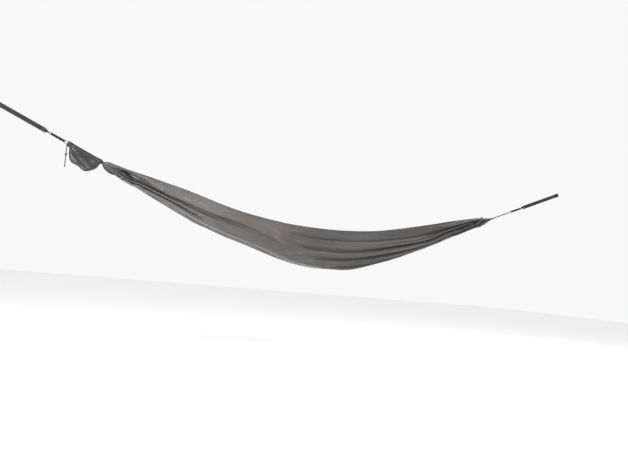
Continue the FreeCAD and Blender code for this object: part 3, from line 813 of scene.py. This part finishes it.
def strap(side):
    """One web: round the carabiner's rod, a quarter turn, sewn, out along the line and round the post."""
    path = nurbs_line([(x, 0, offset) for x, offset in strap_route()], 14)
    x, offset = path[:, 0], path[:, 2]
    turn = 0.5 * math.pi * smooth_step(LOOP_END - 0.002, CARABINER_SEAM[0], x)
    zero = np.zeros_like(x)
    across = np.stack([zero, np.cos(turn), np.sin(turn)], 1)
    face = np.stack([zero, -np.sin(turn), np.cos(turn)], 1)
    line = face * offset[:, None]
    line[:, 0] = x
    tangents = np.gradient(line, axis=0)
    tangents /= np.linalg.norm(tangents, axis=1)[:, None]
    normal = np.cross(tangents, across)
    half_width = 0.5 * (0.015 + 0.010 * smooth_step(LOOP_END - 0.002, CARABINER_SEAM[0] + 0.005, x))
    edge = np.linspace(-1, 1, 13)
    thin = WEB_HALF_T * (1 - 0.35 * np.abs(edge) ** 6)  # the web thins towards its edges
    ring = np.concatenate([edge, edge[::-1]])
    lift = np.concatenate([thin, -thin[::-1]])
    points = line[:, None] + half_width[:, None, None] * ring[None, :, None] * across[:, None]
    rise = np.broadcast_to(lift, (len(line), len(lift)))
    points = points + rise[..., None] * normal[:, None]
    count = len(ring)
    faces = capped(grid_faces(len(line), count, True), len(line), count)
    mesh = new_mesh(f"{side}_strap_web", points.reshape(-1, 3), faces)
    run = np.repeat(run_along(line), count)
    lay = np.stack([run, (half_width[:, None] * ring[None, :]).ravel(), np.tile(np.abs(ring), len(line))], 1)
    give_lay(mesh, lay)
    place(mesh, side)
    finish_piece(mesh, None, "webbing", WEBBING, f"{side}_strap", f"{side}_anchor_loop")
    matrix = line_matrix(side)
    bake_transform(mesh)


def bar_tacks(side, name, body, positions, half, face, node):
    """Zigzags of thread across both faces of a seam, each stitch lying over the last."""
    stitches, sway_by = int(2 * half / 0.00052), 0.0012
    lines = []
    for x in positions:
        for sign in (1, -1):
            line = []
            for k in range(stitches):
                for share in (0.0, 0.3, 0.7):
                    sway = (1 - 2 * share) * (1 if k % 2 == 0 else -1)
                    high = face + 0.00016 + 0.00018 * math.sin(math.pi * share)
                    line.append((x + sway_by * sway, -half + 2 * half * (k + share) / stitches, sign * high))
            lines.append(np.array(line))
    made = [tube(name, line, 0.00023, 6, (0, 0, 1)) for line in lines]
    obj = joined(f"{side}_{name}", made)
    obj.data.transform(Matrix.Rotation(math.pi / 2, 4, "X"))
    place(obj, side)
    return finish_piece(obj, body, "stitching", THREAD, node)


def joined(name, objects):
    """One mesh from several, keeping their lay."""
    points, faces, lay = [], [], []
    count = 0
    for obj in objects:
        mesh = obj.data
        points += [tuple(v.co) for v in mesh.vertices]
        faces += [[count + i for i in polygon.vertices] for polygon in mesh.polygons]
        values = np.zeros(3 * len(mesh.vertices), np.float32)
        mesh.attributes["lay"].data.foreach_get("vector", values)
        lay.append(values.reshape(-1, 3))
        count += len(mesh.vertices)
        bpy.data.objects.remove(obj)
        bpy.data.meshes.remove(mesh)
    made = new_mesh(name, points, faces)
    give_lay(made, np.concatenate(lay))
    return made


# ---- the stuff sack ----
# Its place along the line, how far it hangs below the line, and the round of its lower edge.
SACK_PROFILE = [
    (0.0145, 0.030, 0.0095), (0.018, 0.041, 0.0108), (0.022, 0.050, 0.012), (0.028, 0.060, 0.013),
    (0.034, 0.067, 0.014), (0.048, 0.080, 0.016), (0.064, 0.086, 0.017), (0.094, 0.085, 0.018),
    (0.128, 0.084, 0.018), (0.146, 0.081, 0.0172), (0.158, 0.076, 0.016), (0.169, 0.065, 0.015),
    (0.178, 0.049, 0.0135), (0.185, 0.030, 0.0122), (0.190, 0.019, 0.0112), (0.195, 0.0150, 0.0106),
    (0.201, 0.0142, 0.0112), (0.207, 0.0146, 0.0120), (0.212, 0.0152, 0.0126),
]
SLEEVE = 0.0122  # the radius of the fold that lies round the cord


def sack_ring(drop, bulge, count):
    """The hanging section in (y, z): a sleeve round the cord, two walls, and a soft belly."""
    gap = max(drop - bulge, 0.0008)
    lean = math.asin(np.clip((SLEEVE - bulge) / gap, -0.9, 0.9))
    c, s = math.cos(lean), math.sin(lean)
    over = [(SLEEVE * math.cos(a), SLEEVE * math.sin(a)) for a in np.linspace(-lean, math.pi + lean, 40)]
    low = np.linspace(math.pi + lean, 2 * math.pi - lean, 30)
    under = [(bulge * math.cos(a), -gap + bulge * math.sin(a)) for a in low]
    loop = np.array(over + under + over[:1])
    run = np.concatenate([[0], np.cumsum(np.hypot(*np.diff(loop, axis=0).T))])
    at = np.linspace(0, run[-1], count, endpoint=False)
    return np.stack([np.interp(at, run, loop[:, 0]), np.interp(at, run, loop[:, 1])], 1), run[-1]


def sack():
    """The empty sack, gathered at both mouths: its pleats run out of the gathers and die away down the bag."""
    around, along, most = 132, 110, 0.004  # most is how far a pleat may move the cloth
    profile = np.array(SACK_PROFILE)
    x = np.linspace(profile[0, 0], profile[-1, 0], along)
    drop, bulge = np.interp(x, profile[:, 0], profile[:, 1]), np.interp(x, profile[:, 0], profile[:, 2])
    for values in (drop, bulge):
        values[1:-1] = np.convolve(values, np.ones(3) / 3, "valid")
    angle = np.linspace(0, 2 * math.pi, around, endpoint=False)
    points, lay = [], []
    for at, d, b in zip(x, drop, bulge):
        ring, length = sack_ring(d, b, around)
        ahead, behind = np.roll(ring, -1, 0), np.roll(ring, 1, 0)
        tangent = ahead - behind
        tangent /= np.linalg.norm(tangent, axis=1)[:, None] + 1e-12
        normal = np.stack([tangent[:, 1], -tangent[:, 0]], 1)
        from_start, from_end = at - profile[0, 0], profile[-1, 0] - 0.022 - at
        gather = math.exp(-max(from_start, 0) / 0.030) + math.exp(-max(from_end, 0) / 0.026)
        pleat = 0.0016 * gather * np.sin(11 * angle + 0.8) + 0.0009 * gather * np.sin(19 * angle + 30 * at)
        low = np.clip(-ring[:, 1] / 0.05, 0, 1)
        swell = math.sin(math.pi * np.clip(from_start / 0.19, 0, 1))
        soft = 0.0030 * low * np.sin(3 * angle + 34 * at + 1.0) * swell
        soft += 0.0018 * low * np.sin(5 * angle - 61 * at)
        soft += 0.0012 * low * np.sin(95 * at + 2 * angle)
        shift = np.clip(pleat + soft, -most, most)
        ring = ring + normal * shift[:, None]
        points.append(np.stack([np.full(around, at), ring[:, 0], ring[:, 1]], 1))
        lay.append(np.stack([angle / (2 * math.pi) * length, np.full(around, at), np.zeros(around)], 1))
    obj = new_mesh("sack_fabric", np.concatenate(points), grid_faces(along, around, True))
    give_lay(obj, np.concatenate(lay))
    place(obj, "left")
    subdivided(obj, 0.0004)
    return finish_piece(obj, "sack", "sack_fabric", SACK_NYLON, "sack_body")


def sack_elastic():
    """The shirred elastic at the sack's inner mouth."""
    count, sides, thick = 96, 10, 0.0012
    angle = np.linspace(0, 2 * math.pi, count + 1)[:-1]
    radius = 0.0134 + 0.0002 * np.sin(16 * angle)
    line = np.stack([0.0127 + 0.0003 * np.sin(13 * angle), radius * np.cos(angle), radius * np.sin(angle)], 1)
    ring = np.linspace(0, 2 * math.pi, sides, endpoint=False)
    out = line.copy()
    out[:, 0] = 0
    out /= np.linalg.norm(out, axis=1)[:, None]
    points = line[:, None] + thick * (
        np.cos(ring)[None, :, None] * out[:, None] + np.sin(ring)[None, :, None] * np.array([1.0, 0, 0])
    )
    obj = new_mesh("sack_mouth_elastic", points.reshape(-1, 3), grid_faces(count, sides, True, True))
    run = np.repeat(angle * 0.0128, sides)
    give_lay(obj, np.stack([run, np.tile(np.cos(ring), count), np.tile(np.sin(ring), count)], 1))
    place(obj, "left")
    return finish_piece(obj, "sack", "binding_cord", BINDING, "sack_elastic")


# ---- the sack's drawcord, whose two tails hang through the cord lock to a knot ----
TAIL_R = 0.00125
TAIL_APART = 0.0016  # from the middle of the pair to each tail
TAIL_LONG = 0.104
TAIL_TOP = line_matrix("left") @ Vector((0.207, 0, -0.0164))
FOOT = TAIL_TOP - Vector((0, 0, TAIL_LONG))


def drawcord_tail(name, node, sign):
    """One tail: straight through the cord lock, and very slightly wavy above and below it."""
    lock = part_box("lock_barrel")
    lock_z = (lock[0].z + lock[1].z) / 2
    lock_drop, bend = lock_z - TAIL_TOP.z, 0.0001
    heights = [0, -0.012, -0.026, lock_drop + 0.012, lock_drop, lock_drop - 0.012]
    heights += [-0.072, -0.086, -0.096, -TAIL_LONG]
    route = []
    for k, height in enumerate(heights):
        free = 0 if abs(TAIL_TOP.z + height - lock_z) < 0.014 or k in (0, len(heights) - 1) else 1
        shift = (sign * TAIL_APART + free * bend * (-1) ** k, free * bend * (1 if sign > 0 else -1), height)
        route.append(TAIL_TOP + Vector(shift))
    line = nurbs_line(route, 8)
    obj = tube(name, line, TAIL_R, 12, (0, 1, 0))
    finish_piece(obj, "sack", "binding_cord", BINDING, node)
    return obj, line


def lock_spring():
    """The cord lock's coil, built at rest in the CAD spring's box; the real one shortens towards its seat as the
    button goes in.
    """
    low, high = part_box("lock_spring")
    wire = 0.00035
    radius = (high.x - low.x) / 2 - wire
    middle, turns = (low + high) / 2, 6
    share = np.linspace(0, 1, turns * 20 + 1)
    angle = 2 * math.pi * turns * share
    along = low.y + wire + (high.y - low.y - 2 * wire) * share
    line = np.stack([middle.x + radius * np.cos(angle), along, middle.z + radius * np.sin(angle)], 1)
    obj = tube("lock_coil", line, wire, 8, (0, 1, 0))
    finish_piece(obj, "cord_lock", "spring_steel", STEEL, "lock_spring")
    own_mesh(obj)


def overhand_knot():
    """Both tails tied together: a trefoil with its loops drawn tight, and the two cut ends below."""
    turn = np.linspace(0, 2 * math.pi, 97)
    middle = FOOT + Vector((0, 0, -0.0052))
    size = 0.00125
    lines = []
    for shift in (-0.0010, 0.0010):
        x = size * (np.sin(turn) + 1.45 * np.sin(2 * turn))
        y = size * 0.95 * np.cos(3 * turn + 0.4)
        z = size * (np.cos(turn) - 1.35 * np.cos(2 * turn)) + shift * 1.1
        lines.append(np.stack([x + middle.x, y + middle.y + shift * 0.5, z + middle.z], 1))
    entering, cut = [], []
    for sign in (-1, 1):
        entering.append([FOOT + Vector((sign * TAIL_APART, 0, 0.0005 - 0.0008 * k)) for k in range(5)])
        cut.append([middle + Vector((sign * (0.0010 + 0.0002 * k), 0.0003 * sign, -0.0024 - 0.0007 * k))
                    for k in range(5)])
    lines += [np.array(end) for end in entering + cut]
    made = [tube("knot", line, TAIL_R * 0.98, 10, (0, 1, 0)) for line in lines]
    obj = joined("drawcord_overhand", made)
    return finish_piece(obj, "sack", "binding_cord", BINDING, "drawcord_knot")


# ---- build ----
cloth = relaxed_sheet()
body = hammock_body(cloth)
hems = [hem_band("near_hem_band", cloth, 0, "near_hem"), hem_band("far_hem_band", cloth, COLUMNS - 1, "far_hem")]
for side in ("left", "right"):
    end_channel(side, cloth)
    whipping(side)
    cord_sleeve(side)
    suspension_cord(side)
    strap(side)
    for name, carrier, places, node in (
        ("carabiner_seam_tacks", "hammock", (0.348, 0.354, 0.360), "strap_bartack"),
        ("anchor_seam_tacks", "anchors", (0.653, 0.6575), "loop_bartack"),
    ):
        bar_tacks(side, name, carrier, places, 0.0112, 2 * WEB_HALF_T + WEB_GAP, f"{side}_{node}")
sack()
sack_elastic()
lock_spring()
outer, outer_line = drawcord_tail("outer_tail", "drawcord_outer_tail", -1)
inner, inner_line = drawcord_tail("inner_tail", "drawcord_inner_tail", 1)
overhand_knot()

# ---- the solid parts keep their CAD meshes and get their materials ----
CAD_MATERIALS = {"lock_barrel": PLASTIC, "lock_button": PLASTIC}
for side in ("left", "right"):
    CAD_MATERIALS |= {f"{side}_carabiner": METAL, f"{side}_gate": METAL}
    CAD_MATERIALS |= {f"{side}_gate_{part}": STEEL for part in ("pin", "spring", "plunger")}
for node, material in CAD_MATERIALS.items():
    mesh = bpy.data.objects[node].data
    mesh.materials.clear()
    mesh.materials.append(material)

# ---- the stage, the light and the camera ----
world = bpy.data.worlds.new("pale_room")
bpy.context.scene.world = world
world.use_nodes = True
background = world.node_tree.nodes["Background"].inputs
background["Color"].default_value = (0.94, 0.94, 0.94, 1)
background["Strength"].default_value = 1.0
bpy.context.scene.view_settings.view_transform = "Standard"

REACH, FLOOR_LEVEL = 12, -1.25
corners = [(-REACH, -REACH, 0), (REACH, -REACH, 0), (REACH, REACH, 0), (-REACH, REACH, 0)]
floor = new_mesh("floor", corners, [(0, 1, 2, 3)], smooth=False)
floor.location = (MIDDLE.x, 0, FLOOR_LEVEL)
pale = bpy.data.materials.new("pale_floor")
pale.use_nodes = True
paint = pale.node_tree.nodes["Principled BSDF"].inputs
paint["Base Color"].default_value = (0.9, 0.9, 0.9, 1)
paint["Roughness"].default_value = 0.9
floor.data.materials.append(pale)


def area_light(name, at, size, power):
    """A round light that faces the middle of the hammock's line."""
    light = bpy.data.lights.new(name, "AREA")
    light.shape = "DISK"
    light.size = size
    light.energy = power
    obj = bpy.data.objects.new(name, light)
    obj.location = at
    obj.rotation_euler = (Vector(MIDDLE) - obj.location).to_track_quat("-Z", "Y").to_euler()
    bpy.context.scene.collection.objects.link(obj)
    return obj


key = area_light("key", MIDDLE + Vector((-3.2, -2.2, -0.60)), 1.0, 290)
fill = area_light("fill", MIDDLE + Vector((3.2, -1.6, 1.8)), 2.0, 80)

camera_data = bpy.data.cameras.new("camera")
camera_data.sensor_width = 36
camera_data.lens = 37.78
camera = bpy.data.objects.new("camera", camera_data)
bpy.context.scene.collection.objects.link(camera)
bpy.context.scene.camera = camera
# Turned to the right, tilted up and rolled, in degrees.
yaw, pitch, roll = (math.radians(a) for a in (24.767, 3.493, 5.147))
forward = Vector((math.sin(yaw) * math.cos(pitch), math.cos(yaw) * math.cos(pitch), math.sin(pitch)))
level = Vector((math.cos(yaw), -math.sin(yaw), 0))
upward = level.cross(forward)
image_right = level * math.cos(roll) + upward * math.sin(roll)
image_up = upward * math.cos(roll) - level * math.sin(roll)
pose = Matrix((image_right, image_up, -forward)).transposed().to_4x4()
pose.translation = MIDDLE + Vector((-1.7812, -3.8004, -0.5168))
camera.matrix_world = pose
